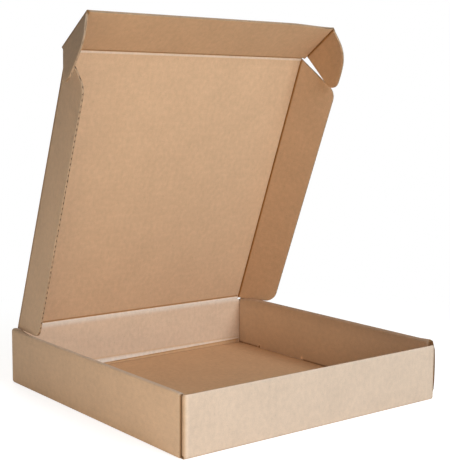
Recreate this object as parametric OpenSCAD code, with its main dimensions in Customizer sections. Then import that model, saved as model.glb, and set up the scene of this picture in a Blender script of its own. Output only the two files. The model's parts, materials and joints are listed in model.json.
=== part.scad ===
// Open roll-end mailer box of corrugated board. The lid leans forward on its
// two side flaps, which stand on the tops of the rolled side walls.
// Origin: middle of the base's underside. X to the right, Y to the back, Z up.

/* [Board] */
// thickness of the board
board_t = 2.5; // [2:0.1:3]
// space between plies that lie side by side
ply_gap = 0.2; // [0.1:0.05:0.4]
// space round the bead of each crease that moves
crease_gap = 0.3; // [0.2:0.05:0.5]

/* [Tray] */
// outside length, left to right
tray_l = 322; // [260:1:400]
// outside depth, front to back
tray_w = 319; // [260:1:400]
// height of the rolled side walls
wall_h = 60; // [50:1:80]
// how far the front panel stays below the side walls
front_drop = 3; // [1:0.5:6]
// distance from the front face to the front ends of the side walls
wall_set = 4.3; // [3:0.1:8]
// distance from the back face to the back ends of the outer plies
back_set = 0.6; // [0.2:0.1:3]
// length of the corner tabs inside the side walls
tab_len = 96; // [50:1:120]
// narrowing of a corner tab, top and bottom, at its free end
tab_taper = 8; // [2:1:20]
// length of the slope at the front end of each wall top
slope_len = 11; // [4:1:20]
// height of that slope
slope_h = 2; // [0.5:0.5:2]

/* [Lock tabs] */
// length of a lock tab
lock_len = 76; // [40:1:100]
// distance of the lock tabs' middles from the box's middle
lock_y = 78; // [60:1:100]
// slot left open past each end of a lock tab
slot_end = 1.8; // [0.5:0.1:4]
// slot left open on each face of a lock tab
slot_gap = 0.2; // [0.1:0.05:0.4]

/* [Lid] */
// lean of the lid, forward of upright
lid_lean = 21; // [5:0.5:40]
// height of the lid crease over the side walls
hinge_rise = 1.5; // [1.4:0.1:5]
// room between a side flap folded square and the wall's inner ply
flap_room = 0.15; // [0.1:0.05:1]
// room between the folded tuck flap and the front panel
tuck_room = 0.5; // [0.2:0.1:2]

/* [Side flaps] */
// width of a side flap
flap_v = 49; // [35:0.5:60]
// angle of the right flap from the lid's plane
right_turn = 66; // [30:1:88]
// angle of the left flap from the lid's plane
left_turn = 86; // [30:1:89]
// slant of the flap's top edge, length per width
flap_slant = 0.44; // [0.2:0.02:0.8]
// start of a flap's crease, from the lid's back crease
flap_low = 0.8; // [0.6:0.1:4]
// space between a flap's top and the front crease
flap_top_gap = 2; // [1.7:0.1:5]
// radius of the top corner
flap_top_r = 10; // [4:1:16]
// radius of the heel's corner
flap_heel_r = 14; // [6:1:20]
// radius of the corner where a flap's foot leaves its crease
flap_foot_r = 3; // [1:0.5:6]
// space between a flap's foot and the wall under it
heel_gap = 0.35; // [0.2:0.05:1]

/* [Tuck flap] */
// distance of an ear's crease outside the lid's side crease
ear_step = 6; // [4:0.5:7]
// height of the tuck flap
tuck_h = 59; // [45:0.5:75]
// angle of the tuck flap from the lid's plane
tuck_turn = 35; // [10:1:38]

/* [Ears] */
// angle of the right ear from the tuck flap's plane
right_ear_turn = 81; // [40:1:88]
// angle of the left ear from the tuck flap's plane
left_ear_turn = 70; // [40:1:88]
// start of the ear's crease, from the front crease
ear_low = 4; // [3:0.1:10]
// end of the ear's crease, below the tuck flap's edge
ear_top = 0.8; // [0.4:0.1:4]
// reach of the ear's point before it is rounded
ear_reach = 57.5; // [45:0.5:65]
// distance of that point from the front crease
ear_point = 9.5; // [8:0.5:20]
// reach of the ear's shoulder
ear_shoulder = 30.5; // [20:0.5:40]
// distance of the shoulder below the ear's top
ear_drop = 7; // [3:0.5:15]
// radius of the ear's point
ear_r = 8; // [4:0.5:12]
// radius of the ear's shoulder
shoulder_r = 17; // [6:1:17]

/* [Hidden] */
$fn = 64;
half_t = board_t / 2;
cut = board_t;
half_l = tray_l / 2;
half_w = tray_w / 2;
stack = 3 * board_t + 2 * ply_gap;
inner_x = half_l - stack;
tab_x = half_l - board_t - ply_gap;
front_h = wall_h - front_drop;
tab_h = min(front_h, wall_h - board_t - ply_gap);
wall_y = half_w - wall_set;
hinge_y = half_w - half_t;
hinge_z = wall_h + hinge_rise;
bead_r = half_t;
seat_r = half_t + crease_gap;
side_x = inner_x - half_t - flap_room;
lid_w = 2 * side_x;
lid_len = hinge_y + half_w - board_t - half_t - tuck_room;
ear_x = side_x + ear_step;
tuck_w = 2 * ear_x;
ear_high = tuck_h - ear_top;
foot_drop = (hinge_rise - heel_gap) / cos(lid_lean);
heel_s = flap_v * tan(lid_lean) - foot_drop;
foot_v = (flap_low + foot_drop) / tan(lid_lean);
flap_high = lid_len - flap_top_gap;
kraft = [0.76, 0.61, 0.47];
kraft_light = [0.83, 0.70, 0.56];
kraft_dark = [0.66, 0.50, 0.37];

function unit(v) = v / norm(v);
// angle, half of it, at corner p between its neighbours a and b
function half_angle(a, p, b) = acos(unit(a - p) * unit(b - p)) / 2;
// point on the way from p to q where an arc of radius r starts
function start_of(a, p, b, r, q) = p + unit(q - p) * r / tan(half_angle(a, p, b));
// middle of the arc of radius r that rounds corner p
function middle_of(a, p, b, r) =
    p + unit(unit(a - p) + unit(b - p)) * r / sin(half_angle(a, p, b));

// outline through points, each corner rounded by its own radius
module outline(points, radii) {
    n = len(points);
    polygon([for (i = [0:n - 1], side = [-1, 1])
        let (a = points[(i + n - 1) % n], p = points[i], b = points[(i + 1) % n])
        start_of(a, p, b, radii[i], side < 0 ? a : b)]);
    for (i = [0:n - 1]) if (radii[i] > 0)
        translate(middle_of(points[(i + n - 1) % n], points[i], points[(i + 1) % n], radii[i]))
            circle(r = radii[i]);
}

// a quarter of a disc in the corner that sx and sy point to
module quarter(at, r, sx, sy) {
    translate(at) intersection() {
        circle(r = r);
        translate([sx < 0 ? -r : 0, sy < 0 ? -r : 0]) square(r);
    }
}

// room for a moving crease's bead, cut from the panel on its -Y side, along +X:
// round on the lower face, square on the upper face that the fold closes to
module seat(length) {
    rotate([0, 90, 0]) cylinder(r = seat_r, h = length);
    translate([0, -seat_r, 0]) cube([length, 2 * seat_r, board_t]);
}

// section of a side wall's outer ply, with its folds and its foot in the base
module outer_section() {
    translate([half_l - 2 * board_t, 0]) square(board_t);
    quarter([half_l - board_t, board_t], board_t, 1, -1);
    translate([half_l - board_t, board_t]) square([board_t, wall_h - 2 * board_t]);
    quarter([half_l - board_t, wall_h - board_t], board_t, 1, 1);
}

// section of the whole wall: outer ply, rolled top and inner ply
module wall_section() {
    outer_section();
    translate([inner_x + board_t, wall_h - board_t]) square([stack - 2 * board_t, board_t]);
    quarter([inner_x + board_t, wall_h - board_t], board_t, -1, 1);
    translate([inner_x, board_t + ply_gap])
        square([board_t, wall_h - 2 * board_t - ply_gap]);
}

// rolled side wall on the right, its front end sloped, with its lock tabs
module side_wall() {
    difference() {
        union() {
            translate([0, wall_y, 0]) rotate([90, 0, 0]) linear_extrude(2 * wall_y) wall_section();
            translate([0, half_w - back_set, 0]) rotate([90, 0, 0])
                linear_extrude(half_w - back_set) outer_section();
        }
        translate([inner_x - cut, 0, 0]) rotate([90, 0, 90]) linear_extrude(stack + 2 * cut)
            polygon([[-wall_y - cut, wall_h - slope_h - cut * slope_h / slope_len],
                     [-wall_y + slope_len, wall_h],
                     [-wall_y + slope_len, wall_h + cut],
                     [-wall_y - cut, wall_h + cut]]);
    }
    for (end = [-1, 1])
        translate([inner_x, end * lock_y - lock_len / 2, ply_gap])
            cube([board_t, lock_len, 2 * board_t]);
}

// slots in the base for the right wall's lock tabs
module lock_slots() {
    for (end = [-1, 1])
        translate([inner_x - slot_gap, end * lock_y - lock_len / 2 - slot_end, -cut])
            cube([board_t + 2 * slot_gap, lock_len + 2 * slot_end, board_t + 2 * cut]);
}

// panel along the front, its foot in the base, its round corners and its tabs
module end_panel() {
    translate([board_t - tab_x, 0, 0]) rotate([90, 0, 90])
        linear_extrude(2 * (tab_x - board_t)) {
            translate([board_t - half_w, 0]) square(board_t);
            quarter([board_t - half_w, board_t], board_t, -1, -1);
            translate([-half_w, board_t]) square([board_t, front_h - board_t]);
        }
    for (side = [0, 1]) mirror([side, 0, 0]) {
        translate([0, 0, board_t + ply_gap]) linear_extrude(front_h - board_t - ply_gap) {
            translate([tab_x - 2 * board_t, -half_w]) square(board_t);
            quarter([tab_x - board_t, board_t - half_w], board_t, 1, -1);
        }
        translate([tab_x - board_t, 0, 0]) rotate([90, 0, 90]) linear_extrude(board_t)
            polygon([[board_t - half_w, board_t + ply_gap],
                     [board_t - half_w + tab_len, board_t + ply_gap + tab_taper],
                     [board_t - half_w + tab_len, tab_h - tab_taper],
                     [board_t - half_w, tab_h]]);
        translate([0, 0, 2 * board_t]) linear_extrude(tab_h - 3 * board_t) {
            quarter([tab_x - board_t, board_t - half_w], board_t, 1, -1);
            translate([tab_x - board_t, board_t - half_w]) square(board_t);
        }
    }
}

// the back panel's middle, raised to the lid's crease and cut for its bead
module back_rise() {
    difference() {
        translate([seat_r - side_x, half_w - board_t, board_t])
            cube([lid_w - 2 * seat_r, board_t, hinge_z - board_t]);
        translate([side_x, hinge_y, hinge_z]) rotate([90, 0, 180]) seat(lid_w);
    }
}

module tray() {
    color(kraft) {
        difference() {
            translate([board_t - half_l, board_t - half_w, 0])
                cube([tray_l - 2 * board_t, tray_w - 2 * board_t, board_t]);
            for (side = [0, 1]) mirror([side, 0, 0]) lock_slots();
        }
        for (side = [0, 1]) mirror([side, 0, 0]) side_wall();
        for (end = [0, 1]) mirror([0, end, 0]) end_panel();
        back_rise();
    }
}

// puts a piece drawn flat, length along +Y and inner face up, onto the lid
module on_lid() {
    translate([0, hinge_y, hinge_z]) rotate([90 + lid_lean, 0, 0]) children();
}

// the same for the tuck flap, from its crease
module on_tuck() {
    on_lid() translate([0, lid_len, 0]) rotate([tuck_turn, 0, 0]) children();
}

// board cut to an outline, with the bead of its crease along Y from low to high
module hinged_board(points, radii, low, high) {
    translate([0, 0, -half_t]) linear_extrude(board_t) outline(points, radii);
    translate([0, low, 0]) rotate([-90, 0, 0]) cylinder(r = bead_r, h = high - low);
}

module lid() {
    color(kraft_light) on_lid() {
        rotate([0, 90, 0]) cylinder(r = bead_r, h = lid_w - 2 * seat_r, center = true);
        difference() {
            translate([-side_x, 0, -half_t]) cube([lid_w, lid_len, board_t]);
            for (side = [0, 1]) mirror([side, 0, 0])
                translate([side_x, lid_len + cut, 0]) rotate([0, 0, -90])
                    seat(lid_len + board_t + 2 * cut);
            translate([-side_x - cut, lid_len, 0]) seat(lid_w + 2 * cut);
        }
    }
}

module front_flap() {
    color(kraft_dark) on_tuck() {
        rotate([0, 90, 0]) cylinder(r = bead_r, h = tuck_w - 2 * seat_r, center = true);
        difference() {
            translate([-ear_x, 0, -half_t]) cube([tuck_w, tuck_h, board_t]);
            for (side = [0, 1]) mirror([side, 0, 0])
                translate([ear_x, tuck_h + cut, 0]) rotate([0, 0, -90])
                    seat(tuck_h + board_t + 2 * cut);
        }
    }
}

// side flap drawn flat to the right of its crease
module side_flap() {
    hinged_board([[0, flap_low], [foot_v, flap_low], [flap_v, heel_s],
                  [flap_v, flap_high - flap_slant * flap_v], [0, flap_high]],
                 [0, flap_foot_r, flap_heel_r, flap_top_r, 0], flap_low, flap_high);
}

module right_flap() {
    color(kraft_dark) on_lid() translate([side_x, 0, 0]) rotate([0, -right_turn, 0]) side_flap();
}

module left_flap() {
    color(kraft_dark) on_lid() mirror([1, 0, 0]) translate([side_x, 0, 0])
        rotate([0, -left_turn, 0]) side_flap();
}

// ear drawn flat to the right of its crease
module ear() {
    hinged_board([[0, ear_low], [ear_reach, ear_point], [ear_shoulder, ear_high - ear_drop],
                  [0, ear_high]], [0, ear_r, shoulder_r, 0], ear_low, ear_high);
}

module right_ear() {
    color(kraft) on_tuck() translate([ear_x, 0, 0]) rotate([0, -right_ear_turn, 0]) ear();
}

module left_ear() {
    color(kraft) on_tuck() mirror([1, 0, 0]) translate([ear_x, 0, 0])
        rotate([0, -left_ear_turn, 0]) ear();
}

tray();
lid();
front_flap();
left_flap();
right_flap();
left_ear();
right_ear();
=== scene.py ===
import json
import math
import bpy
import numpy as np
from mathutils import Matrix, Vector


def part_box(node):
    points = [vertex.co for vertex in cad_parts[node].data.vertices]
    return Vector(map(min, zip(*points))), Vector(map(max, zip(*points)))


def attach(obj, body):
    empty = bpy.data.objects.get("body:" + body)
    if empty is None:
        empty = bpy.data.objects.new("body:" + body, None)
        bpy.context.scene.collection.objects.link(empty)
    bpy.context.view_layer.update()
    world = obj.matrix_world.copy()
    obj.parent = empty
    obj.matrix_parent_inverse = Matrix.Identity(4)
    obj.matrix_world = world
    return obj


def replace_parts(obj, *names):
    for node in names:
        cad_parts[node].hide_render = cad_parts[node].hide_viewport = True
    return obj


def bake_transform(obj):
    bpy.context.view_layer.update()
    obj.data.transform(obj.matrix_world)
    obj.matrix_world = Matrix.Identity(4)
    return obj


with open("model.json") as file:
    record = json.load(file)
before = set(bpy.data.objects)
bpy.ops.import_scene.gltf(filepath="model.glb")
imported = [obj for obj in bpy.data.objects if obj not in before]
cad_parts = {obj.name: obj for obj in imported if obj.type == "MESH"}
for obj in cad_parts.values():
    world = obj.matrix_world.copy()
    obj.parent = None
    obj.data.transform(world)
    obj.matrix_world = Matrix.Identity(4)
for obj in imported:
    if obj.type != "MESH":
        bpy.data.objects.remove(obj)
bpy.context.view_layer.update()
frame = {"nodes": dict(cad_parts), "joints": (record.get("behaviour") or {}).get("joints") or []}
joints = {joint["name"]: joint for joint in frame["joints"]}
mm = 0.001  # shapes are worked out in millimetres
sides = {"left": -1, "right": 1}  # each side's way along x
print("frame loaded:", len(frame["nodes"]), "nodes")


# Sheet of board

board = {
    "thick": 2.5,        # full board, mm
    "liner": 0.40,       # each face paper
    "medium": 0.40,      # fluted paper between the faces
    "pitch": 6.0,        # one flute
    "step": 1.0,         # grid step across the flutes
    "washboard": 0.02,   # how far a face follows the flutes
    "crush": 0.10,       # how far a die cut presses each face in at its edge
    "pinch": 0.72,       # the same at an edge that is pinched shut
    "crushReach": 1.6,   # how far in from the edge that shows
    "shutReach": 0.8,    # how far in the fluted paper is squashed shut between its holes
    "holeFrom": 0.1,     # the holes stay open where the flute's swing is past this
    "creaseReach": 3.0,  # half width of the crushed strip at a moving crease
    "noEdge": 99.0,      # distance to a cut edge where none is near
    "sharpAngle": 40,    # faces that meet at more degrees than this have a sharp edge
}
halfThick = board["thick"] / 2
reach = board["creaseReach"]
outside, inside, cutEdge, flute = range(4)  # the papers, in the order of a piece's materials


# values from the first to the last break, each break kept, about a step apart between them
def lines(breaks, steps):
    steps = np.broadcast_to(steps, len(breaks) - 1)
    runs = [np.linspace(low, high, max(2, int(np.ceil((high - low) / step)) + 1))[:-1]
            for low, high, step in zip(breaks[:-1], breaks[1:], steps)]
    return np.concatenate(runs + [[breaks[-1]]])


# middles between neighbouring grid values
def middles(values):
    return (values[1:] + values[:-1]) / 2


# soft mark: a bell of the distance from a line, over its width
def mark(distance, width):
    return np.exp(-(distance / width) ** 2)


# smooth step from 0 to 1: three times the share's square less twice its cube
def smoothStep(share):
    share = np.clip(share, 0, 1)
    return share ** 2 * (3 - 2 * share)


# a closed slab between two grids of points: both faces of every kept cell, and a rim wherever
# a kept cell has no kept neighbour. Kind 0 is the lower face, 1 the upper face and 2 the rim.
def slab(lower, upper, keep=None):
    rows, cols = lower.shape[:2]
    count = rows * cols
    keep = np.ones((rows - 1, cols - 1), bool) if keep is None else keep
    index = np.arange(count).reshape(rows, cols)
    corners = [index[:-1, :-1], index[1:, :-1], index[1:, 1:], index[:-1, 1:]]
    padded = np.pad(keep, 1)
    beside = [padded[1:-1, :-2], padded[2:, 1:-1], padded[1:-1, 2:], padded[:-2, 1:-1]]
    under = np.stack([corner[keep] for corner in corners], 1)
    rims = []
    for side in range(4):
        free = keep & ~beside[side]
        start, end = corners[side][free], corners[(side + 1) % 4][free]
        rims.append(np.stack([end + count, start + count, start, end], 1))
    rim = np.concatenate(rims)
    quads = np.concatenate([under[:, ::-1], under + count, rim])
    kinds = np.repeat([0, 1, 2], [len(under), len(under), len(rim)])
    points = np.concatenate([lower.reshape(-1, 3), upper.reshape(-1, 3)])
    first, second, third = (points[under[:, corner] + count] for corner in range(3))
    outward = np.cross(second - first, third - first) * (first - points[under[:, 0]])
    if outward.sum() < 0:
        quads = quads[:, ::-1]
    return points, quads, kinds


# corrugated board round a middle surface: two face papers held half a thickness off it along its normal,
# and between them a paper that swings as a raised sine, squared, of the distance across the flutes. A cut
# edge squashes that paper shut, but for one small hole a flute. A swell lifts the inner face. The mark
# value is over 0 where a paper is paler, from rubbed paper and from painted light, and under 0 where it is
# darker, from pressed paper and from painted shade.
def corrugated(centre, normal, along, across, keep=None, edge=board["noEdge"], crush=board["crush"],
               outWearAndLight=0.0, inWearAndLight=0.0, coreWearAndLight=0.0, swell=0.0):
    phase = np.sin(2 * np.pi * across / board["pitch"])
    half = halfThick - crush * mark(edge, board["crushReach"])
    liner, medium = board["liner"], board["medium"]
    outer = board["washboard"] * (1 + phase) - half
    inner = half - board["washboard"] * (1 - phase) + swell
    room = half - liner
    wave = (room - medium / 2) * (2 * ((1 + phase) / 2) ** 2 - 1)
    hole = np.clip((-phase - board["holeFrom"]) / (1 - board["holeFrom"]), 0, 1)
    shut = mark(edge, board["shutReach"])
    low = (1 - shut) * (wave - medium / 2) - shut * room
    high = (1 - shut) * (wave + medium / 2) + shut * (room - hole * (2 * room - medium))
    layers = [(outer, outer + liner, (outside, flute, cutEdge), outWearAndLight),
              (inner - liner, inner, (flute, inside, cutEdge), inWearAndLight),
              (low, high, (flute, flute, cutEdge), coreWearAndLight)]
    sheet = np.stack([along, across, np.zeros_like(along)], -1)
    return [dict(solid=slab(centre + normal * under[..., None], centre + normal * over[..., None], keep),
                 paint=paint, sheet=sheet, wearAndPaintedLight=np.broadcast_to(wearAndPaintedLight, along.shape))
            for under, over, paint, wearAndPaintedLight in layers]


# one object from its slabs, in metres, with the sheet's own coordinates and its mark value (wear with
# painted light and shade) as attributes
def makePiece(name, layers):
    points, quads, paints, sheets, wearsAndLight = [], [], [], [], []
    count = 0
    for layer in layers:
        solidPoints, solidQuads, kinds = layer["solid"]
        used, packed = np.unique(solidQuads, return_inverse=True)
        points.append(solidPoints[used])
        quads.append(packed.reshape(-1, 4) + count)
        paints.append(np.array(layer["paint"])[kinds])
        sheets.append(np.tile(layer["sheet"].reshape(-1, 3), (2, 1))[used])
        wearsAndLight.append(np.tile(layer["wearAndPaintedLight"].ravel(), 2)[used])
        count += len(used)
    mesh = bpy.data.meshes.new(name)
    mesh.from_pydata((np.concatenate(points) * mm).tolist(), [], np.concatenate(quads).tolist())
    mesh.polygons.foreach_set("material_index", np.concatenate(paints).astype(np.int32))
    mesh.polygons.foreach_set("use_smooth", np.ones(len(mesh.polygons), bool))
    sheetData = mesh.attributes.new("sheet", "FLOAT_VECTOR", "POINT").data
    sheetData.foreach_set("vector", (np.concatenate(sheets) * mm).astype(np.float32).ravel())
    wearLightData = mesh.attributes.new("wearAndPaintedLight", "FLOAT", "POINT").data
    wearLightData.foreach_set("value", np.concatenate(wearsAndLight).astype(np.float32))
    mesh.set_sharp_from_angle(angle=math.radians(board["sharpAngle"]))
    for material in kraftLooks:
        mesh.materials.append(material)
    mesh.update()
    piece = bpy.data.objects.new(name, mesh)
    bpy.context.scene.collection.objects.link(piece)
    return piece


# Papers

# colours by themselves, paler (rubbed paper and painted light) and deeper (pressed paper and painted
# shade), then the strength of each noise and the finish
papers = {
    "kraft_outside": dict(colour=(0.705, 0.535, 0.385), pale=(0.84, 0.64, 0.46), deep=(0.33, 0.175, 0.075),
                          mottle=0.03, fleck=0.045, streak=0.012, grain=0.055, speck=0.12,
                          rough=0.82, bump=0.08),
    "kraft_inside": dict(colour=(0.66, 0.425, 0.247), pale=(0.78, 0.65, 0.51), deep=(0.33, 0.175, 0.075),
                         mottle=0.03, fleck=0.05, streak=0.012, grain=0.055, speck=0.15,
                         rough=0.86, bump=0.10),
    # the cut edge's colour is darker than the board's own: painted shade for cut edges that lie in shade
    "kraft_cut_edge": dict(colour=(0.45, 0.30, 0.18), pale=(0.62, 0.47, 0.33), deep=(0.19, 0.11, 0.055),
                           mottle=0.08, fleck=0.05, streak=0.05, grain=0.055, speck=0.15,
                           rough=0.92, bump=0.20),
    "kraft_flute": dict(colour=(0.20, 0.125, 0.07), pale=(0.40, 0.29, 0.19), deep=(0.19, 0.11, 0.055),
                        mottle=0.06, fleck=0.05, streak=0.03, grain=0.055, speck=0.15,
                        rough=0.92, bump=0.15),
}
# each noise's size in metres along the flutes, across them and through the board
paperNoise = {
    "mottle": dict(sizes=(0.035, 0.035, 0.035), detail=5, rough=0.5),
    "fleck": dict(sizes=(0.0045, 0.006, 0.005), detail=3, rough=0.5),
    "streak": dict(sizes=(0.0014, 0.03, 0.01), detail=3, rough=0.5),
    "grain": dict(sizes=(0.0011, 0.0011, 0.0011), detail=3, rough=0.65),
    "speck": dict(sizes=(0.0016, 0.0028, 0.002), detail=2, rough=0.5),
}
paperFinish = {
    "swing": (0.3, 0.7),         # noise over which a shade goes from its darkest to its lightest
    "speckSwing": (0.64, 0.76),  # noise over which a speck darkens
    "bumpDepth": 0.0004,         # metres
    "gloss": 0.04,               # specular level
}


def addNode(tree, kind, **settings):
    made = tree.nodes.new(kind)
    for key, value in settings.items():
        setattr(made, key, value)
    return made


# an empty node tree of a new material or world
def freshTree(owner):
    owner.use_nodes = True
    owner.node_tree.nodes.clear()
    return owner.node_tree


# kraft paper on the sheet's own coordinates: cloudy mottling, small flecks, streaks across the flutes,
# dark fibre specks and fine grain, mixed toward a pale colour for rubbed paper and painted light, and
# toward a deep one for pressed paper and painted shade
def kraftPaper(name, look):
    material = bpy.data.materials.new(name)
    tree = freshTree(material)
    link = tree.links.new
    sheet = addNode(tree, "ShaderNodeAttribute", attribute_name="sheet")
    wearAndPaintedLight = addNode(tree, "ShaderNodeAttribute", attribute_name="wearAndPaintedLight")

    def cloud(sizes, detail, rough):
        mapping = addNode(tree, "ShaderNodeMapping")
        mapping.inputs["Scale"].default_value = [1 / size for size in sizes]
        link(sheet.outputs["Vector"], mapping.inputs["Vector"])
        noise = addNode(tree, "ShaderNodeTexNoise")
        noise.inputs["Scale"].default_value = 1.0
        noise.inputs["Detail"].default_value = detail
        noise.inputs["Roughness"].default_value = rough
        link(mapping.outputs["Vector"], noise.inputs["Vector"])
        return noise.outputs["Fac"]

    def between(value, span, result):
        ranged = addNode(tree, "ShaderNodeMapRange")
        for socket, number in zip(("From Min", "From Max", "To Min", "To Max"), (*span, *result)):
            ranged.inputs[socket].default_value = number
        link(value, ranged.inputs["Value"])
        return ranged.outputs["Result"]

    def product(first, second):
        times = addNode(tree, "ShaderNodeMath", operation="MULTIPLY")
        link(first, times.inputs[0])
        link(second, times.inputs[1])
        return times.outputs["Value"]

    clouds = {kind: cloud(**noise) for kind, noise in paperNoise.items()}
    shade = between(clouds["speck"], paperFinish["speckSwing"], (1, 1 - look["speck"]))
    for kind in ("mottle", "fleck", "streak", "grain"):
        swung = between(clouds[kind], paperFinish["swing"], (1 - look[kind], 1 + look[kind]))
        shade = product(shade, swung)

    # the mark value mixes in the pale colour (rubbed paper and painted light) and goes paler still past 1,
    # and under 0 goes darker and mixes in the deep colour (pressed paper and painted shade)
    tone = addNode(tree, "ShaderNodeMix", data_type="RGBA", clamp_factor=False)
    tone.inputs["A"].default_value = (*look["colour"], 1)
    tone.inputs["B"].default_value = (*look["pale"], 1)
    link(wearAndPaintedLight.outputs["Fac"], tone.inputs["Factor"])
    deepened = addNode(tree, "ShaderNodeMix", data_type="RGBA")
    deepened.inputs["B"].default_value = (*look["deep"], 1)
    link(tone.outputs["Result"], deepened.inputs["A"])
    link(between(wearAndPaintedLight.outputs["Fac"], (-1, 0), (1, 0)), deepened.inputs["Factor"])
    shaded = addNode(tree, "ShaderNodeVectorMath", operation="SCALE")
    link(deepened.outputs["Result"], shaded.inputs[0])
    link(shade, shaded.inputs["Scale"])

    bump = addNode(tree, "ShaderNodeBump")
    bump.inputs["Strength"].default_value = look["bump"]
    bump.inputs["Distance"].default_value = paperFinish["bumpDepth"]
    link(clouds["grain"], bump.inputs["Height"])
    paper = addNode(tree, "ShaderNodeBsdfPrincipled")
    paper.inputs["Roughness"].default_value = look["rough"]
    paper.inputs["Specular IOR Level"].default_value = paperFinish["gloss"]
    link(shaded.outputs["Vector"], paper.inputs["Base Color"])
    link(bump.outputs["Normal"], paper.inputs["Normal"])
    output = addNode(tree, "ShaderNodeOutputMaterial")
    link(paper.outputs["BSDF"], output.inputs["Surface"])
    return material


kraftLooks = [kraftPaper(name, look) for name, look in papers.items()]
print("papers made:", ", ".join(papers))


# Where each panel lies

# a fold's line, the way the sheet runs over it and the face that it closes to, before and past the
# fold: past it both are turned about the line by the fold's angle
def foldFrame(name, across, inner, turn):
    origin = np.array(joints[name]["pos_m"]) / mm
    sine, cosine = math.sin(math.radians(turn)), math.cos(math.radians(turn))
    across, inner = np.array(across, float), np.array(inner, float)
    return dict(origin=origin, turn=turn, across=across, inner=inner,
                childAcross=cosine * across + sine * inner,
                childInner=cosine * inner - sine * across)


# a fold whose range starts flat has turned this far at rest
def restTurn(name):
    return -joints[name]["range_deg"][0]


lidLean = joints["lid_hinge"]["range_deg"][1] - 90  # the lid opens until it lies flat behind
hinge = foldFrame("lid_hinge", (0, 0, 1), (0, -1, 0), lidLean)
tuckFold = foldFrame("front_flap_fold", hinge["childAcross"], hinge["childInner"],
                     restTurn("front_flap_fold"))
flapFolds, earFolds = {}, {}
for side, sign in sides.items():
    flapName, earName = side + "_flap_fold", side + "_ear_fold"
    flapFolds[side] = foldFrame(flapName, (sign, 0, 0), hinge["childInner"], restTurn(flapName))
    earFolds[side] = foldFrame(earName, (sign, 0, 0), tuckFold["childInner"], restTurn(earName))
xAxis = np.array([1.0, 0, 0])
lidUp, tuckUp = hinge["childAcross"], tuckFold["childAcross"]
lidLength = float(np.linalg.norm(tuckFold["origin"] - hinge["origin"]))
flapX = float(flapFolds["right"]["origin"][0])
earX = float(earFolds["right"]["origin"][0])


# Tray

tray = {
    "wallHeight": 60.0,   # top of the rolled side walls
    "frontHeight": 57.0,  # top of the front panel and of the back's two ends
    "wallGap": 0.2,       # air between plies
    "wallFront": 155.2,   # front ends of the rolled walls, from the middle
    "foldRound": 1.25,    # middle radius of a fold
    "foldRows": 6,        # rows of points round a fold
    "lockMiddle": 78.0,   # lock tabs, from the middle
    "lockLength": 76.0,
}
halfX, halfY = (float(value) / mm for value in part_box("tray")[1][:2])
foldRound, foldRows = tray["foldRound"], tray["foldRows"]
foldLength = foldRound * math.pi / 2
lockMiddle, lockHalf = tray["lockMiddle"], tray["lockLength"] / 2
plyX = halfX - 3 * board["thick"] - 2 * tray["wallGap"]  # inner ply's inner face
baseX, baseY = halfX - board["thick"], halfY - board["thick"]


# a path of straight runs and square left turns in a plane: places, left normals and lengths along
# it. A run has a length and a step, and a turn has a radius and a count of points, even in angle.
def bentPath(start, heading, parts):
    place, angle, length = np.array(start, float), math.radians(heading), 0.0
    places, angles, lengths = [], [], []
    for kind, size, detail in parts:
        if kind == "turn":
            swing = np.linspace(0, math.pi / 2, detail)
            middle = place + size * np.array([-math.sin(angle), math.cos(angle)])
            made = middle + size * np.stack([np.sin(angle + swing), -np.cos(angle + swing)], 1)
            gone, faced = size * swing, angle + swing
        else:
            gone = lines([0, size], detail)
            made = place + np.outer(gone, [math.cos(angle), math.sin(angle)])
            faced = np.full(len(gone), angle)
        skip = 1 if places else 0
        places.append(made[skip:])
        angles.append(faced[skip:])
        lengths.append(length + gone[skip:])
        place, angle, length = made[-1], faced[-1], length + gone[-1]
    angles = np.concatenate(angles)
    normals = np.stack([-np.sin(angles), np.cos(angles)], 1)
    return np.concatenate(places), normals, np.concatenate(lengths)


base = {
    "alongStep": 24.0,   # grid step along the flutes
    "slotEnd": 1.8,      # slot past each end of a lock tab
    "darkAll": 0.12,     # painted shade: how dark the inside is all over
    "darkLine": 0.35,    # and more painted shade along its front and back folds
    "darkWide": 0.9,     # width of that line
}


# flat bottom: x along the flutes, y across them, with a slot for each lock tab, and painted shade on its
# inside, most along the front and back folds
def basePanel():
    slotIn, slotOut = plyX - tray["wallGap"], plyX + board["thick"] + tray["wallGap"]
    slotHalf = lockHalf + base["slotEnd"]
    slotStart, slotStop = lockMiddle - slotHalf, lockMiddle + slotHalf
    x = lines([-baseX, -slotOut, -slotIn, slotIn, slotOut, baseX], base["alongStep"])
    y = lines([-baseY, -slotStop, -slotStart, slotStart, slotStop, baseY], board["step"])
    along, across = np.meshgrid(x, y, indexing="ij")
    centre = np.stack([along, across, np.full_like(along, halfThick)], -1)
    normal = np.broadcast_to([0.0, 0, 1], centre.shape)
    xMid, yMid = np.abs(middles(x))[:, None], np.abs(middles(y))[None, :]
    slot = (xMid > slotIn) & (xMid < slotOut) & (np.abs(yMid - lockMiddle) < slotHalf)
    # painted shade over the inside face, darkest along the front and back folds
    dark = base["darkAll"] + base["darkLine"] * mark(baseY - y, base["darkWide"])
    inWearAndLight = np.broadcast_to(-dark[None, :], along.shape)
    return makePiece("base_panel", corrugated(centre, normal, along, across, ~slot, inWearAndLight=inWearAndLight))


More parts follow.
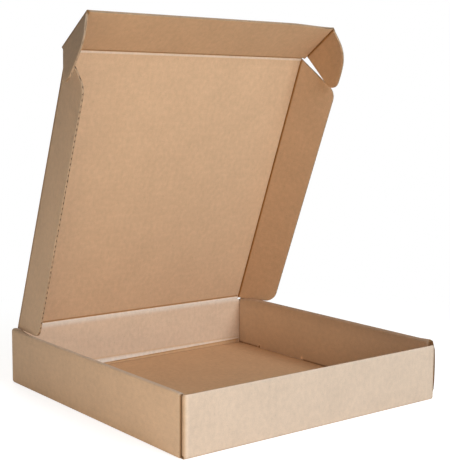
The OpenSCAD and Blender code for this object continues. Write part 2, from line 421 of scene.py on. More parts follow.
wall = {
    "topRound": 2.4,      # middle radius of the two folds over the top
    "innerBack": 156.6,   # back end of the inner ply, from the middle
    "outerBack": 158.9,   # back end of the outer ply
    "outerStep": 7.0,     # grid steps up the outer ply, over the top and down the inner ply
    "topStep": 1.0,
    "innerStep": 11.0,
    "fineStep": 0.5,      # grid step along the wall at the ends of a lock tab
    "fineZone": 2.5,      # how far that reaches each way
    "footZone": 6.0,      # finely divided strip at the inner ply's foot
    "bow": {"left": 0.0, "right": 3.6},      # how far the outer ply stands out at the front
    "bowFull": 0.3,       # power of the bow's sine up the wall, and of its growth to the front
    "bowGrow": 1.5,
    "lift": {"left": 0.0, "right": 2.8},     # how far the top rides up over its middle and front
    "leanIn": {"left": 4.2, "right": 0.0},   # how far it falls toward the inside
    "leanOut": {"left": 0.0, "right": 2.8},  # how far it falls toward the outside
    "leanFrom": 152.0,    # lift and lean start this far back and are full after this length
    "leanLength": 30.0,
    "droop": 0.6,         # fall of the top at its front end
    "droopLength": 15.0,
    "droopPower": 1.7,
}
# how pale, over 0, or dark, under 0, each mark on a wall is, and its width
wallMarks = {
    "top": {"left": -0.1, "right": -0.8},  # painted shade along the fold over the top
    "topWide": 3.2,
    "foot": -1.0,         # painted shade: a dark line along the inner ply's foot, where there is no lock tab
    "footWide": 1.1,
    "front": -0.9,        # painted shade on the front end of the roll
    "frontWide": 1.0,
    "hole": -1.3,         # painted shade of a hole past a lock tab's outer end, with a pale ring round it
    "holeWide": 1.2,
    "holeUp": 1.2,        # height of its middle over the foot
    "ring": 0.8,
    "ringWide": 0.8,
    "ringRound": 2.6,
    "litSpot": 3.6,          # painted light: a spot past a lock tab's end toward the middle, paler than rubbed paper
    "litSpotWide": 1.8,
    "litSpotUp": 2.2,        # height of its middle over the foot
    "spotPast": 1.0,      # how far past the tab's ends both spots lie
}


# rolled wall: up from the base, over the top and down inside, carried along y. Its top falls away
# at the front as a power of the distance past the droop's start and rides up behind that as a
# smooth step, with a lean over the top that grows along the roll. Its outer ply bows out as a root
# of the sine of the way up, times a power of the way to the front.
def sideWall(side):
    sign, top = sides[side], wall["topRound"]
    rise = tray["wallHeight"] - board["thick"] - halfThick - top
    span = 2 * board["thick"] + 2 * tray["wallGap"]
    overTop = math.pi * top + span - 2 * top
    parts = [("turn", foldRound, foldRows), ("run", rise, wall["outerStep"]), ("turn", top, foldRows),
             ("run", span - 2 * top, wall["topStep"]), ("turn", top, foldRows),
             ("run", rise - tray["wallGap"] - wall["footZone"], wall["innerStep"]),
             ("run", wall["footZone"], board["step"]), ("run", board["thick"], halfThick)]
    path, normals, length = bentPath((baseX, halfThick), 0, parts)
    tabEnds = np.add.outer([-lockMiddle, lockMiddle], [-lockHalf, lockHalf]).ravel()
    zone = np.array([-1, 0, 1]) * wall["fineZone"]
    plain, fine = board["step"], wall["fineStep"]
    y = lines([-tray["wallFront"], *np.add.outer(tabEnds, zone).ravel(), wall["innerBack"],
               wall["outerBack"]], [plain] + 4 * [fine, fine, plain] + [plain])
    shape = (len(length), len(y))
    row, place = np.broadcast_to(length[:, None], shape), np.broadcast_to(y, shape)

    past = np.clip((wall["droopLength"] - tray["wallFront"] - y) / wall["droopLength"], 0, 1)
    ahead = smoothStep((wall["leanFrom"] - y) / wall["leanLength"])
    rolled = np.clip((length - foldLength - rise) / overTop, 0, 1)[:, None]
    shift = wall["lift"][side] * ahead - wall["droop"] * past ** wall["droopPower"] \
        - wall["leanIn"][side] * ahead * rolled \
        - wall["leanOut"][side] * ahead * (1 - rolled) * (1 - past)
    height = path[:, 1:] + shift * (path[:, 1:] / tray["wallHeight"]) ** 2
    climb = np.clip((length - foldLength) / rise, 0, 1)
    bow = wall["bow"][side] * np.sin(np.pi * climb)[:, None] ** wall["bowFull"] \
        * np.clip(-y / tray["wallFront"], 0, 1) ** wall["bowGrow"]
    centre = np.stack([sign * (path[:, :1] + bow), place, height], -1)
    normal = np.stack([np.broadcast_to(sign * normals[:, :1], shape), np.zeros(shape),
                       np.broadcast_to(normals[:, 1:], shape)], -1)

    rowMid, yMid = middles(length)[:, None], middles(y)[None, :]
    topMiddle = foldLength + rise + overTop / 2
    foot = length[-1] - board["thick"]
    inTab = np.abs(np.abs(yMid) - lockMiddle) < lockHalf
    keep = ~((rowMid > topMiddle) & (yMid > wall["innerBack"])) & ~((rowMid > foot) & ~inTab)

    fromLock = np.abs(place) - lockMiddle
    hole = np.hypot(row - foot + wallMarks["holeUp"], fromLock - lockHalf - wallMarks["spotPast"])
    # distance to the painted bright spot
    litSpot = np.hypot(row - foot + wallMarks["litSpotUp"], fromLock + lockHalf + wallMarks["spotPast"])
    # painted shade along the top fold and the foot line, painted shade of a hole with a pale ring, and a
    # painted bright spot
    wearAndPaintedLight = wallMarks["top"][side] * mark(row - topMiddle, wallMarks["topWide"]) \
        + wallMarks["foot"] * (np.abs(fromLock) > lockHalf) * mark(foot - row, wallMarks["footWide"]) \
        + wallMarks["hole"] * mark(hole, wallMarks["holeWide"]) \
        + wallMarks["ring"] * mark(hole - wallMarks["ringRound"], wallMarks["ringWide"]) \
        + wallMarks["litSpot"] * mark(litSpot, wallMarks["litSpotWide"])
    # painted shade on the roll's front end, its cut edge included
    frontShade = wallMarks["front"] * mark(place + tray["wallFront"], wallMarks["frontWide"])
    edge = np.minimum(place + tray["wallFront"], wall["outerBack"] - place)
    layers = corrugated(centre, normal, sign * (baseX + row), place, keep, edge=edge,
                        crush=board["pinch"], outWearAndLight=wearAndPaintedLight + frontShade, inWearAndLight=frontShade,
                        coreWearAndLight=frontShade)
    return makePiece(side + "_wall", layers)


endPanels = {
    "tabLength": 96.0,   # corner tabs between the plies
    "tabTaper": 8.0,     # how much nearer to its middle a tab's top and foot are at its end
    "riseX": 150.15,     # half width of the back's raised middle
    "tabStep": 18.0,     # grid steps along a tab, the panel and its two ends
    "faceStep": 12.0,
    "endStep": 1.5,
    "fineStep": 0.5,     # grid step up the foot, where the bead is, and up the raised middle
    "fineZone": 10.0,
    "cornerFold": 0.9,   # share of the bottom fold's rise that goes on round each corner
    "leftPale": 0.6,     # painted highlight on the round corner at the left and painted shade on the one at the right
    "leftWide": 1.3,
    "rightDark": 0.6,
    "rightWide": 1.6,
    "topWide": 2.6,      # width of the pale strip along the top, a painted highlight on partly rubbed paper
}
# bead along a panel's foot: the heights of its line over the base and of its pale strip, and how far it
# stands out, each at the left and right ends. Then how pale its strip is, a painted highlight and sheen on
# partly burnished paper, how dark its lines are, painted shade, the painted light over the panel above its
# line, and the pale strip along the panel's top, a painted highlight on partly rubbed paper.
beads = {
    "front": dict(low=(1.0, 1.0), tall=(3.0, 3.0), deep=(1.0, 1.0), pale=0.3, dark=0.5, paintedLightAbove=0.0,
                  topPale=0.0),
    "back": dict(low=(1.4, 4.2), tall=(7.2, 2.2), deep=(2.2, 1.0), pale=1.0, dark=1.0, paintedLightAbove=0.3,
                 topPale=0.6),
}
beadForm = {
    "power": 1.15,       # how the swell falls off up the strip
    "dip": 0.45,         # share of the swell that the line presses in, and its width
    "dipWide": 0.7,
    "rightPale": 0.2,    # share of the pale strip that is left at the right end
    "paleFrom": 0.3,     # height over the line where the pale strip starts
    "line": 0.75,        # painted shade: a dark line, and its width
    "lineWide": 0.55,
    "upper": 0.22,       # faint painted shade line over the strip, how far over it, and its width
    "upperGap": 0.6,
    "upperWide": 0.8,
    "under": 0.18,       # painted shade: a dark strip under the line, and how far under it that starts
    "underFrom": 0.5,
}


# swell of a bead at heights over the foot, its painted highlight less its painted shade, and the painted
# light above its line: under the line it stands out in full, less a bell at the line, and over it falls
# off as a power of the way up. Its
# sizes go evenly from the left end's to the right end's.
def beadAt(bead, heights, leftShare):
    low, tall, deep = (bead[key][1] + leftShare * (bead[key][0] - bead[key][1])
                       for key in ("low", "tall", "deep"))
    up = heights - low
    swell = deep * np.where(up > 0, np.clip(1 - up / tall, 0, 1) ** beadForm["power"],
                            1 - beadForm["dip"] * mark(up, beadForm["dipWide"]))
    rightPale = beadForm["rightPale"]
    rubbedAndLit = bead["pale"] * (rightPale + (1 - rightPale) * leftShare) \
        * np.clip(2 - 2 * up / tall, 0, 1) * (up > beadForm["paleFrom"])
    pressedAndShaded = beadForm["line"] * mark(up, beadForm["lineWide"]) \
        + beadForm["upper"] * mark(up - tall - beadForm["upperGap"], beadForm["upperWide"]) \
        + beadForm["under"] * (up < -beadForm["underFrom"])
    return swell, rubbedAndLit - bead["dark"] * pressedAndShaded, bead["paintedLightAbove"] * (up > 0)


# front or back panel with its bottom fold, round corners and tabs: a path round the end of the
# tray carried up z, with the bottom fold turning the panel's foot in under its middle stretch, as
# an arc, and each tab narrowing in proportion to the way along it
def endPanel(name, sign, top, bead):
    tabRun, riseX, frontHeight = endPanels["tabLength"], endPanels["riseX"], tray["frontHeight"]
    tabX = halfX - board["thick"] - tray["wallGap"] - halfThick  # middle of a corner tab
    cornerX = tabX - foldRound
    tabPart, turnPart = ("run", tabRun, endPanels["tabStep"]), ("turn", foldRound, foldRows)
    endPart = ("run", cornerX - riseX, endPanels["endStep"])
    facePart = ("run", 2 * riseX, endPanels["faceStep"])
    parts = [tabPart, turnPart, endPart, facePart, endPart, turnPart, tabPart]
    path, normals, length = bentPath((-tabX, tabRun - baseY), -90, parts)
    fromMiddle = length - length[-1] / 2

    bend = np.linspace(math.pi / 2, 0, foldRows)
    tabFoot = board["thick"] + tray["wallGap"]
    zBreaks = [board["thick"], tabFoot, tabFoot + endPanels["fineZone"], frontHeight]
    zSteps = [board["step"], endPanels["fineStep"], board["step"]]
    if top > frontHeight:
        zBreaks, zSteps = zBreaks + [top], zSteps + [endPanels["fineStep"]]
    z = np.concatenate([board["thick"] - foldRound * np.sin(bend[:-1]), lines(zBreaks, zSteps)])
    tilt = np.concatenate([bend[:-1], np.zeros(len(z) - len(bend) + 1)])
    inward = foldRound * (1 - np.cos(tilt))
    shape = (len(length), len(z))
    tabShare = np.clip((np.abs(fromMiddle) - (length[-1] / 2 - tabRun)) / tabRun, 0, 1)[:, None]
    zMiddle = (tabFoot + frontHeight) / 2
    squeeze = 1 - tabShare * endPanels["tabTaper"] / (zMiddle - tabFoot)
    height = np.where(tabShare > 0, zMiddle + (z[None, :] - zMiddle) * squeeze, z[None, :])
    centre = np.stack([np.broadcast_to(path[:, :1], shape),
                       -sign * (path[:, 1:] + inward[None, :]), height], -1)
    cosine, sine = np.cos(tilt)[None, :], np.sin(tilt)[None, :]
    normal = np.stack([normals[:, :1] * cosine, -sign * normals[:, 1:] * cosine,
                       np.broadcast_to(sine, shape)], -1)

    xMid, rowMid = np.abs(middles(path[:, 0]))[:, None], np.abs(middles(fromMiddle))[:, None]
    zMid = middles(z)[None, :]
    keep = ~((rowMid > cornerX + foldLength) & (zMid < tabFoot)) \
        & ~((rowMid > cornerX) & (zMid < board["thick"] - endPanels["cornerFold"] * foldRound)) \
        & ~((xMid > riseX) & (zMid > frontHeight))

    leftShare = np.clip((riseX - path[:, 0]) / (2 * riseX), 0, 1)[:, None]
    onPanel = (np.abs(path[:, 0]) <= riseX)[:, None] & (z >= tabFoot)[None, :]
    # painted highlight and shade along the bead, painted light over the panel above it, and a painted
    # highlight along the top
    swell, beadLightShade, paintedLightAbove = beadAt(bead, z[None, :] - tabFoot, leftShare)
    inWearAndLight = np.where(onPanel, beadLightShade, 0.0) + paintedLightAbove \
        + bead["topPale"] * mark(top - z[None, :], endPanels["topWide"])
    # painted highlight on the left round corner, painted shade on the right one
    cornerLightShade = endPanels["leftPale"] * mark(fromMiddle + cornerX, endPanels["leftWide"]) \
        - endPanels["rightDark"] * mark(fromMiddle - cornerX - foldLength, endPanels["rightWide"])
    climbed = np.concatenate([[0], np.cumsum(np.hypot(np.diff(z), np.diff(inward)))])
    raised = (top > frontHeight) & (np.abs(path[:, 0]) < riseX)
    edge = np.where(raised[:, None], board["noEdge"], np.abs(z - frontHeight)[None, :])
    layers = corrugated(centre, normal, np.broadcast_to(fromMiddle[:, None], shape),
                        np.broadcast_to(sign * (baseY + climbed), shape), keep, edge=edge,
                        crush=board["pinch"], outWearAndLight=np.broadcast_to(cornerLightShade[:, None], shape),
                        inWearAndLight=inWearAndLight, swell=np.where(onPanel, swell, 0.0))
    return makePiece(name, layers), climbed[-1]


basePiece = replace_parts(basePanel(), "tray")
wallPieces = [sideWall(side) for side in sides]
hingeZ = float(hinge["origin"][2])
frontPiece = endPanel("front_panel", -1, tray["frontHeight"], beads["front"])[0]
backPiece, backClimb = endPanel("back_panel", 1, hingeZ - reach, beads["back"])
for piece in (basePiece, *wallPieces, frontPiece, backPiece):
    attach(piece, "tray")
hingeAcross = baseY + backClimb + reach  # the sheet's own coordinate at the lid's crease
tuckAcross = hingeAcross + lidLength     # and at the tuck flap's
print("tray made")


# Lid and flaps

lid = {
    "bow": 0.35,        # how far the middle of the lid stands off its plane
    "alongStep": 22.0,  # grid step along the flutes
    "hingeOver": 0.9,   # how far the hinge's crease runs past the back's raised middle
}
tuck = {
    "height": 59.0,
    "fall": {"left": 0.0, "right": 3.2},  # how far the top edge droops at each end
    "fallLength": 64.0,
    "fallStep": 4.0,    # grid step along the droop
}
flap = {
    "width": {"left": (49.0, 47.4), "right": (48.2, 51.0)},  # at the foot and at the top
    "low": {"left": -3.0, "right": -1.8},      # where the foot starts on the crease
    "heelRise": 17.58,  # how far up the crease the heel's corner is, before its sink
    "heelSink": {"left": 2.0, "right": 3.2},   # how far a heel is pressed down over the wall's top
    "heelRound": {"left": 11.5, "right": 17.0},
    "topRound": {"left": 16.0, "right": 15.0},
    "topGap": 0.7,      # how far short of the lid's end the crease ends
    "slant": 0.455,     # fall of the top edge for each millimetre out
}
ear = {
    "low": 4.0,         # ends of the crease, from the tuck flap's foot and from its top
    "topGap": 0.8,
    "point": (57.5, 9.5),   # corners of the outline, out from the crease and up it
    "bulge": (45.6, 31.6),
    "shoulder": 31.5,
    "drop": {"left": 6.3, "right": 3.1},       # fall of the top edge as far as the shoulder
    "rounds": (10.0, 90.0, 34.0),              # at the point, the bulge and the shoulder
    "pinch": 0.45,      # how far the cut edge is pressed shut
}
flapGrid = {
    "footZone": 1.5,    # finely divided strip at a flap's low end
    "footStep": 0.25,
    "rows": 11,         # from the crease to the cut edge, closer toward the edge by this power
    "rowPower": 1.7,
    "arcPoints": 24,    # points round each corner of an outline
}


# outline through corners, each rounded by its own radius with an arc of even steps
def roundedOutline(corners, radii):
    corners = np.array(corners, float)
    made = [corners[:1]]
    for before, corner, after, radius in zip(corners[:-2], corners[1:-1], corners[2:], radii):
        back, on = before - corner, after - corner
        back, on = back / np.linalg.norm(back), on / np.linalg.norm(on)
        half = math.acos(float(back @ on)) / 2
        toMiddle = (back + on) / np.linalg.norm(back + on)
        sidewise = (on - back) / np.linalg.norm(on - back)
        middle = corner + toMiddle * radius / math.sin(half)
        swing = np.linspace(half - math.pi / 2, math.pi / 2 - half, flapGrid["arcPoints"])
        made.append(middle + radius * (np.outer(np.sin(swing), sidewise)
                                       - np.outer(np.cos(swing), toMiddle)))
    return np.concatenate(made + [corners[-1:]])


# flap cut to an outline: rows run from the crease to the outline's reach at each place along it,
# spaced as a power of the way left to the edge
def flapPiece(name, foldOf, up, outline, alongStart, acrossStart, step, crush):
    reachAt, placeAt = outline[:, 0], outline[:, 1]
    widest = int(np.argmax(reachAt))
    low = float(np.interp(reach, reachAt[:widest + 1], placeAt[:widest + 1]))
    high = float(np.interp(-reach, -reachAt[widest:], placeAt[widest:]))
    place = lines([low, low + flapGrid["footZone"], high], [flapGrid["footStep"], step])
    limit = np.interp(place, placeAt, reachAt)
    share = 1 - (1 - np.linspace(0, 1, flapGrid["rows"])) ** flapGrid["rowPower"]
    out = reach + share[:, None] * (limit - reach)[None, :]
    centre = foldOf["origin"] + out[..., None] * foldOf["childAcross"] \
        + np.broadcast_to(place, out.shape)[..., None] * up
    normal = np.broadcast_to(foldOf["childInner"], centre.shape)
    across = np.broadcast_to(acrossStart + place, out.shape)
    along = math.copysign(1, foldOf["across"][0]) * (alongStart + out)
    layers = corrugated(centre, normal, along, across, edge=limit[None, :] - out, crush=crush)
    return makePiece(name, layers)


# plain rectangle of the lid, bowed a little as a product of a cosine and a sine
def lidPanel():
    half = flapX - reach
    x = lines([-half, half], lid["alongStep"])
    along, up = np.meshgrid(x, lines([reach, lidLength - reach], board["step"]), indexing="ij")
    bow = lid["bow"] * np.cos(np.pi * along / (2 * half)) \
        * np.sin(np.pi * (up - reach) / (lidLength - 2 * reach))
    centre = hinge["origin"] + along[..., None] * xAxis + up[..., None] * lidUp \
        - bow[..., None] * hinge["childInner"]
    normal = np.broadcast_to(hinge["childInner"], centre.shape)
    return makePiece("lid_panel", corrugated(centre, normal, along, hingeAcross + up))


# tuck flap: a rectangle, less the strip that the crease takes along its foot, with a top edge
# that droops toward its right end as a smooth step
def tuckPanel():
    half, height = earX - reach, tuck["height"]
    fallFrom = half - tuck["fallLength"]
    x = lines([-half, fallFrom, half], [lid["alongStep"], tuck["fallStep"]])
    along, flat = np.meshgrid(x, lines([reach, height], board["step"]), indexing="ij")
    top = height - tuck["fall"]["right"] * smoothStep((along - fallFrom) / tuck["fallLength"])
    up = reach + (flat - reach) * (top - reach) / (height - reach)
    centre = tuckFold["origin"] + along[..., None] * xAxis + up[..., None] * tuckUp
    normal = np.broadcast_to(tuckFold["childInner"], centre.shape)
    layers = corrugated(centre, normal, along, tuckAcross + up, edge=top - up)
    return makePiece("front_flap_panel", layers)


# side flap: a foot that rises to a round heel, and a slanted top with a round corner
def sideFlap(side):
    footWidth, topWidth = flap["width"][side]
    corners = [(0, flap["low"][side]), (footWidth, flap["heelRise"] - flap["heelSink"][side]),
               (topWidth, flapTop - flap["slant"] * topWidth), (0, flapTop)]
    outline = roundedOutline(corners, (flap["heelRound"][side], flap["topRound"][side]))
    return flapPiece(side + "_flap_panel", flapFolds[side], lidUp, outline, flapX, hingeAcross,
                     board["step"], board["crush"])


# ear: out along its foot to the point, then back by the bulge and the shoulder, each rounded
def earFlap(side):
    corners = [(0, ear["low"]), ear["point"], ear["bulge"],
               (ear["shoulder"], earTop[side] - ear["drop"][side]), (0, earTop[side])]
    return flapPiece(side + "_ear_panel", earFolds[side], tuckUp, roundedOutline(corners, ear["rounds"]),
                     earX, tuckAcross, board["step"] / 2, ear["pinch"])


flapTop = lidLength - flap["topGap"]
earTop = {side: tuck["height"] - tuck["fall"][side] - ear["topGap"] for side in sides}
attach(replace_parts(lidPanel(), "lid"), "lid")
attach(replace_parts(tuckPanel(), "front_flap"), "front_flap")
for side in sides:
    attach(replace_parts(sideFlap(side), side + "_flap"), side + "_flap")
    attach(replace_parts(earFlap(side), side + "_ear"), side + "_ear")
print("lid and flaps made")


# Creases that move

creaseShape = {
    "groove": 1.9,        # half width of the groove on the inner face
    "bottom": 0.35,       # groove's bottom, from the crease line
    "shares": (0.18, 0.4, 0.66, 1.0),  # points across half the groove
    "arcPoints": 7,       # points where the outer face rounds the line
    "rowStep": 4.0,       # grid step along the crease
    "waver": 0.12,        # uneven depth along the crease: mean of sines of these lengths and starts
    "waverLengths": (9.7, 5.3, 23.0),
    "waverStarts": (0.0, 1.1, 2.0),
    "rubLitFrom": 0.7,       # the parent's side is pale in full over this stretch from the line: rubbed paper and painted highlight
    "rubLitTo": 1.7,
    "rubLitFade": 2.4,       # and past it fades over this width
    "darkAt": 0.2,        # middle of the dark line: pressed paper and painted shade
}
# how pale each crease is, from rubbed paper and painted highlight, and how dark, from pressed paper and
# painted shade, and the width of its dark line
creaseWearLightShade = {
    "lid": dict(pale=1.0, dark=0.5, wide=1.3),
    "tuck": dict(pale=0.5, dark=0.4, wide=1.3),
    "flap": dict(pale=0.3, dark=0.8, wide=2.3),
    "ear": dict(pale=0.1, dark=0.8, wide=2.3),
}


# crushed strip over a crease: an outer face that rounds the crease line as an arc and an inner
# face pressed into a groove. Each point of the section is turned by its share of the fold, and the
# strip's ends go from the parent's to the child's by the same share, then along the child's slopes.
# A crease that runs along the flutes has no start along them.
def creaseStrip(name, foldOf, up, parentEnds, childEnds, slopes, alongStart, acrossStart, look):
    groove = creaseShape["groove"]
    halfOver = np.append(groove * np.array(creaseShape["shares"]), reach)
    innerU = np.concatenate([-halfOver[::-1], [0], halfOver])
    innerTurn = (np.sign(innerU) + 1) / 2
    arc = creaseShape["arcPoints"]
    outerU = np.concatenate([[-reach, -reach / 2], np.zeros(arc), [reach / 2, reach]])
    outerTurn = np.concatenate([[0, 0], np.linspace(0, 1, arc), [1, 1]])
    dip = np.clip(1 - np.abs(innerU) / groove, 0, 1)
    innerN = halfThick - (halfThick - creaseShape["bottom"]) * dip
    outerN = np.full(len(outerU), -halfThick)
    rows = lines([0, 1], creaseShape["rowStep"] / (childEnds[1] - childEnds[0]))
    far = rows * (childEnds[1] - childEnds[0])
    sines = np.sin(np.divide.outer(far, creaseShape["waverLengths"]) + creaseShape["waverStarts"])
    waver = creaseShape["waver"] * sines.mean(1)

    def skin(u, n, share, depth):
        turned = math.radians(foldOf["turn"]) * share
        n = n[None, :] + depth[:, None] * dip[None, :]
        overFold = u * np.cos(turned) - n * np.sin(turned)
        offFold = u * np.sin(turned) + n * np.cos(turned)
        low, high = (parentEnds[end] * (1 - share) + childEnds[end] * share
                     + slopes[end] * np.maximum(u, 0) for end in (0, 1))
        place = low + rows[:, None] * (high - low)
        return foldOf["origin"] + overFold[..., None] * foldOf["across"] \
            + offFold[..., None] * foldOf["inner"] + place[..., None] * up

    lower = skin(outerU, outerN, outerTurn, 0 * waver)
    upper = skin(innerU, innerN, innerTurn, waver)
    shape = lower.shape[:2]
    flat = np.broadcast_to(innerU, shape)
    run = np.broadcast_to((childEnds[0] + far)[:, None], shape)
    if alongStart is None:
        sheet = np.stack([run, acrossStart + flat, np.zeros(shape)], -1)
    else:
        sign = math.copysign(1, foldOf["across"][0])
        sheet = np.stack([sign * (alongStart + flat), acrossStart + run, np.zeros(shape)], -1)
    # pale strip on the parent's side, rubbed paper and painted highlight, less a dark line, pressed paper
    # and painted shade
    rubbedAndLit = mark(np.minimum(innerU + creaseShape["rubLitTo"], 0), creaseShape["rubLitFade"]) \
        * (innerU < -creaseShape["rubLitFrom"])
    pressedAndShaded = mark(innerU - creaseShape["darkAt"], look["wide"])
    wearAndPaintedLight = np.broadcast_to(look["pale"] * rubbedAndLit - look["dark"] * pressedAndShaded, shape)
    return makePiece(name, [dict(solid=slab(lower, upper), paint=(outside, inside, cutEdge),
                                 sheet=sheet, wearAndPaintedLight=wearAndPaintedLight)])


# puts the strip's transform into its mesh
def bendWith(piece):
    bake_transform(piece)


hingeHalf, lidHalf, tuckHalf = endPanels["riseX"] + lid["hingeOver"], flapX - reach, earX - reach
lidCrease = creaseStrip("lid_crease", hinge, xAxis, (-hingeHalf, hingeHalf), (-lidHalf, lidHalf),
                        (0, 0), None, hingeAcross, creaseWearLightShade["lid"])
bendWith(lidCrease)
tuckCrease = creaseStrip("front_flap_crease", tuckFold, xAxis, (-flapX, flapX), (-tuckHalf, tuckHalf),
                         (0, 0), None, tuckAcross, creaseWearLightShade["tuck"])
bendWith(tuckCrease)
for side in sides:
    flapLow = flap["low"][side]
    heelSlope = (flap["heelRise"] - flap["heelSink"][side] - flapLow) / flap["width"][side][0]
    flapCrease = creaseStrip(side + "_flap_crease", flapFolds[side], lidUp, (flapLow, lidLength - reach),
                             (flapLow, flapTop), (heelSlope, -flap["slant"]), flapX, hingeAcross,
                             creaseWearLightShade["flap"])
    bendWith(flapCrease)
    pointOut, pointUp = ear["point"]
    earSlopes = ((pointUp - ear["low"]) / pointOut, -ear["drop"][side] / ear["shoulder"])
    earCrease = creaseStrip(side + "_ear_crease", earFolds[side], tuckUp,
                            (0, tuck["height"] - tuck["fall"][side]), (ear["low"], earTop[side]),
                            earSlopes, earX, tuckAcross, creaseWearLightShade["ear"])
    bendWith(earCrease)
print("creases made")


# Camera

camera = {
    "focal": 1067.5,        # pixels, in a picture 450 wide and 466 high
    "pictureHeight": 466,   # the longer side, which the sensor's width spans
    "sensor": 36.0,
    "clip": (0.01, 50.0),
    "place": (-0.67391, -0.87567, 0.30705),
    "ahead": (0.60917, 0.78319, -0.12461),
    "up": (0.07112, 0.10254, 0.99218),
}
cameraData = bpy.data.cameras.new("photo_camera")
cameraData.sensor_width = camera["sensor"]
cameraData.lens = camera["focal"] * camera["sensor"] / camera["pictureHeight"]
cameraData.clip_start, cameraData.clip_end = camera["clip"]
cameraObject = bpy.data.objects.new("photo_camera", cameraData)
ahead = Vector(camera["ahead"]).normalized()
rightward = ahead.cross(Vector(camera["up"])).normalized()
turned = Matrix((rightward, rightward.cross(ahead), -ahead)).transposed()
cameraObject.matrix_world = Matrix.Translation(camera["place"]) @ turned.to_4x4()
bpy.context.scene.collection.objects.link(cameraObject)
bpy.context.scene.camera = cameraObject
print("camera set")


# Floor and light

studio = {
    "floorSize": 30.0,    # metres
    "floorWhite": 0.82,   # white that the floor shows the camera by itself
    "floorPale": (0.48, 0.455, 0.42),   # paper colour that takes the shadow
    "floorBounce": (0.95, 0.86, 0.75),  # paper colour that lights the box from below
    "fadeFrom": 0.22,     # the floor turns to plain white over this ring, in metres
    "fadeTo": 0.60,
    "worldFill": 0.06,    # light from all round
}
lamps = {
    "front_softbox": dict(place=(0.42, -2.2, 1.45), aim=(0, 0, 0.15), size=(1.2, 1.2), power=55.5,
                          colour=(0.885, 1.0, 1.16)),
    "low_fill": dict(place=(-0.60, -0.25, 0.12), aim=(-0.35, -0.13, -0.25), size=(0.4, 0.12), power=1.4,
                     colour=(1.0, 0.83, 0.66)),
    "back_softbox": dict(place=(0.6, 2.4, 1.5), aim=(0, 0, 0.2), size=(0.9, 0.9), power=17,
                         colour=(1.0, 0.97, 0.93)),
    "back_fill": dict(place=(1.6, 2.0, 0.9), aim=(0, 0, 0.15), size=(1.5, 1.5), power=14,
                      colour=(1.0, 1.0, 1.0)),
}


# 1 for rays that show the background: from the camera, off a gloss or through glass
def seenRays(tree):
    rays = addNode(tree, "ShaderNodeLightPath")
    found = rays.outputs["Is Camera Ray"]
    for kind in ("Is Glossy Ray", "Is Transmission Ray"):
        either = addNode(tree, "ShaderNodeMath", operation="MAXIMUM")
        tree.links.new(found, either.inputs[0])
        tree.links.new(rays.outputs[kind], either.inputs[1])
        found = either.outputs["Value"]
    return found


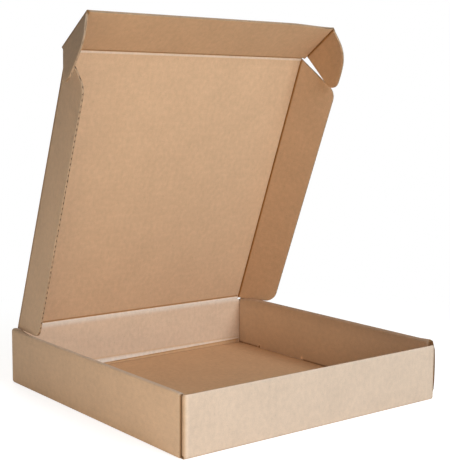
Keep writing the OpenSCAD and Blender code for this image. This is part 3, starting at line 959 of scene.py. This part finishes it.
# pale floor: white light for the camera plus a matt paper that takes the shadow near the box,
# fading to plain white with the distance from the middle, and to other rays a warm white paper
def paleFloor():
    material = bpy.data.materials.new("pale_floor")
    tree = freshTree(material)
    link = tree.links.new

    def mixed(factor, first, second):
        mix = addNode(tree, "ShaderNodeMixShader")
        link(factor, mix.inputs["Fac"])
        link(first, mix.inputs[1])
        link(second, mix.inputs[2])
        return mix.outputs["Shader"]

    paper = addNode(tree, "ShaderNodeBsdfDiffuse")
    paper.inputs["Color"].default_value = (*studio["floorPale"], 1)
    glow = addNode(tree, "ShaderNodeEmission")
    glow.inputs["Strength"].default_value = studio["floorWhite"]
    shadowed = addNode(tree, "ShaderNodeAddShader")
    link(paper.outputs["BSDF"], shadowed.inputs[0])
    link(glow.outputs["Emission"], shadowed.inputs[1])
    place = addNode(tree, "ShaderNodeTexCoord")
    distance = addNode(tree, "ShaderNodeVectorMath", operation="LENGTH")
    link(place.outputs["Object"], distance.inputs[0])
    fade = addNode(tree, "ShaderNodeMapRange", interpolation_type="SMOOTHSTEP")
    fade.inputs["From Min"].default_value = studio["fadeFrom"]
    fade.inputs["From Max"].default_value = studio["fadeTo"]
    link(distance.outputs["Value"], fade.inputs["Value"])
    white = addNode(tree, "ShaderNodeEmission")
    shown = mixed(fade.outputs["Result"], shadowed.outputs["Shader"], white.outputs["Emission"])
    bounce = addNode(tree, "ShaderNodeBsdfDiffuse")
    bounce.inputs["Color"].default_value = (*studio["floorBounce"], 1)
    output = addNode(tree, "ShaderNodeOutputMaterial")
    link(mixed(seenRays(tree), bounce.outputs["BSDF"], shown), output.inputs["Surface"])
    return material


def makeFloor():
    half = studio["floorSize"] / 2
    corners = [(-half, -half, 0), (half, -half, 0), (half, half, 0), (-half, half, 0)]
    mesh = bpy.data.meshes.new("studio_floor")
    mesh.from_pydata(corners, [], [(0, 1, 2, 3)])
    mesh.materials.append(paleFloor())
    floor = bpy.data.objects.new("studio_floor", mesh)
    bpy.context.scene.collection.objects.link(floor)


# white to the camera, a plain grey fill to everything else
def makeWorld():
    world = bpy.data.worlds.new("studio_world")
    tree = freshTree(world)
    fill = addNode(tree, "ShaderNodeBackground")
    fill.inputs["Strength"].default_value = studio["worldFill"]
    white = addNode(tree, "ShaderNodeBackground")
    for background in (fill, white):
        background.inputs["Color"].default_value = (1, 1, 1, 1)
    mix = addNode(tree, "ShaderNodeMixShader")
    tree.links.new(seenRays(tree), mix.inputs["Fac"])
    tree.links.new(fill.outputs["Background"], mix.inputs[1])
    tree.links.new(white.outputs["Background"], mix.inputs[2])
    output = addNode(tree, "ShaderNodeOutputWorld")
    tree.links.new(mix.outputs["Shader"], output.inputs["Surface"])
    bpy.context.scene.world = world


def makeLamp(name, lamp):
    data = bpy.data.lights.new(name, "AREA")
    data.shape = "RECTANGLE"
    data.size, data.size_y = lamp["size"]
    data.energy, data.color = lamp["power"], lamp["colour"]
    lampObject = bpy.data.objects.new(name, data)
    aim = Vector(lamp["aim"]) - Vector(lamp["place"])
    facing = aim.to_track_quat("-Z", "Y").to_matrix().to_4x4()
    lampObject.matrix_world = Matrix.Translation(lamp["place"]) @ facing
    bpy.context.scene.collection.objects.link(lampObject)


makeFloor()
makeWorld()
for lampName, lamp in lamps.items():
    makeLamp(lampName, lamp)
bpy.context.scene.view_settings.view_transform = "Standard"
print("studio set")
